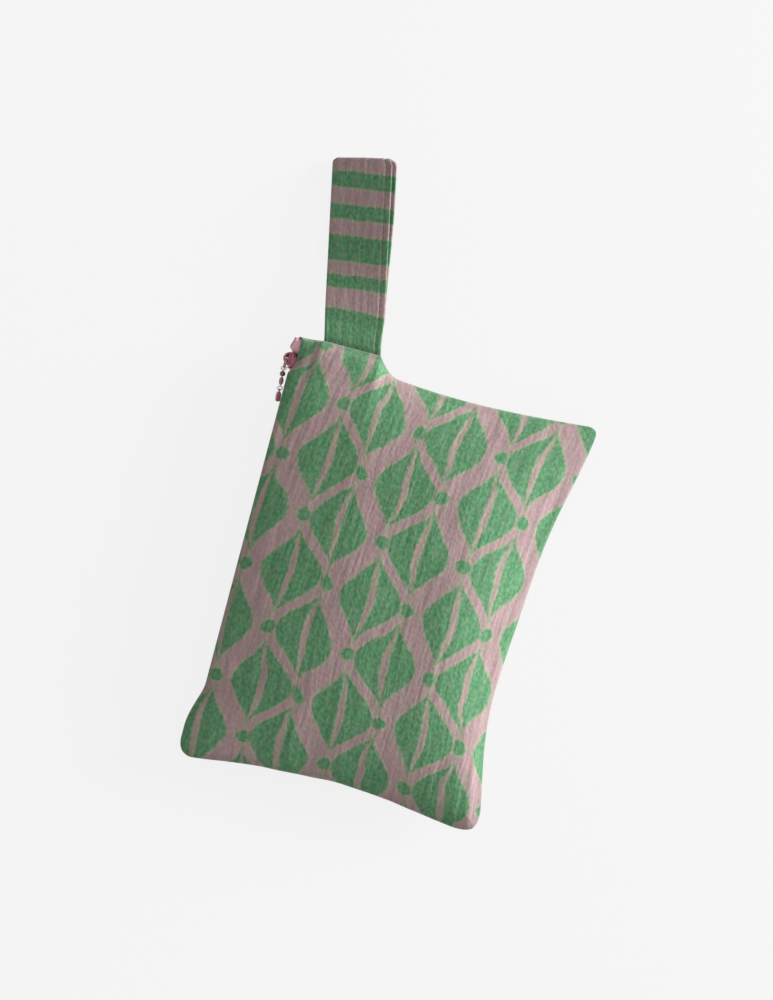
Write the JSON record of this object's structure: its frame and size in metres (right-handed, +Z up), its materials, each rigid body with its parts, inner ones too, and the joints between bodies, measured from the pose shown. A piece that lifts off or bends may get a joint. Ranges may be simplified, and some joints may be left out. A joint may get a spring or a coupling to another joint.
{
  "type": "zip clutch bag",
  "caption": "Flat padded cloth zip pouch with a folded wrist loop sewn into one end beside the zip, and a beaded zip pull.",
  "frame": {"origin": "on the table, under the middle of the pouch's flat back", "axes": "+Z up through the pouch's thickness, +Y along the zip towards the strap, +X from the zip to the base seam"},
  "size_m": [0.1891, 0.3711, 0.034],
  "materials": {
    "printed_cotton": "crinkled double gauze, printed green on dusty pink",
    "lining_cotton": "plain woven",
    "zip_tape": "woven polyester tape",
    "zip_coil": "nylon monofilament coil",
    "pink_lacquer": "lacquered die-cast zinc",
    "bright_wire": "bright nickel-plated wire"
  },
  "bodies": {
    "pouch": {"front_panel": "printed_cotton", "back_panel": "printed_cotton", "front_lining": "lining_cotton", "back_lining": "lining_cotton", "zip_tape_front": "zip_tape", "zip_tape_back": "zip_tape", "zip_teeth_front": "zip_coil", "zip_teeth_back": "zip_coil", "top_stop_front": "pink_lacquer", "top_stop_back": "pink_lacquer", "bottom_stop": "pink_lacquer", "strap_sewn_end": "printed_cotton"},
    "slider": {"slider_body": "pink_lacquer", "slider_crown": "pink_lacquer"},
    "ring": {"pull_ring": "pink_lacquer"},
    "bead_drop": {"bead_pin": "bright_wire", "round_bead": "pink_lacquer", "oval_bead": "pink_lacquer"},
    "tab": {"pull_tab": "pink_lacquer"},
    "strap": {"wrist_strap": "printed_cotton"}
  },
  "joints": [
    {"name": "zip_slide", "type": "slide", "parent": "pouch", "child": "slider", "axis": [0, -1, 0], "range_m": [0, 0.18], "deforming": ["zip_teeth_front", "zip_teeth_back"]},
    {"name": "pull_swing", "type": "hinge", "parent": "slider", "child": "ring", "pos_m": [-0.09076, 0.1138, 0.014], "axis": [-0.158, 0.4147, -0.8961], "range_deg": [0, 140]},
    {"name": "bead_swing", "type": "hinge", "parent": "ring", "child": "bead_drop", "pos_m": [-0.0912, 0.10825, 0.01151], "axis": [-0.158, 0.4147, -0.8961], "range_deg": [0, 50]},
    {"name": "tab_swing", "type": "hinge", "parent": "bead_drop", "child": "tab", "pos_m": [-0.09048, 0.09488, 0.00519], "axis": [0.9862, 0.1109, -0.1226], "range_deg": [-50, 50]},
    {"name": "strap_fold", "type": "hinge", "parent": "pouch", "child": "strap", "pos_m": [-0.0551, 0.13165, 0.013], "axis": [1, 0, 0], "range_deg": [-90, 95]}
  ]
}
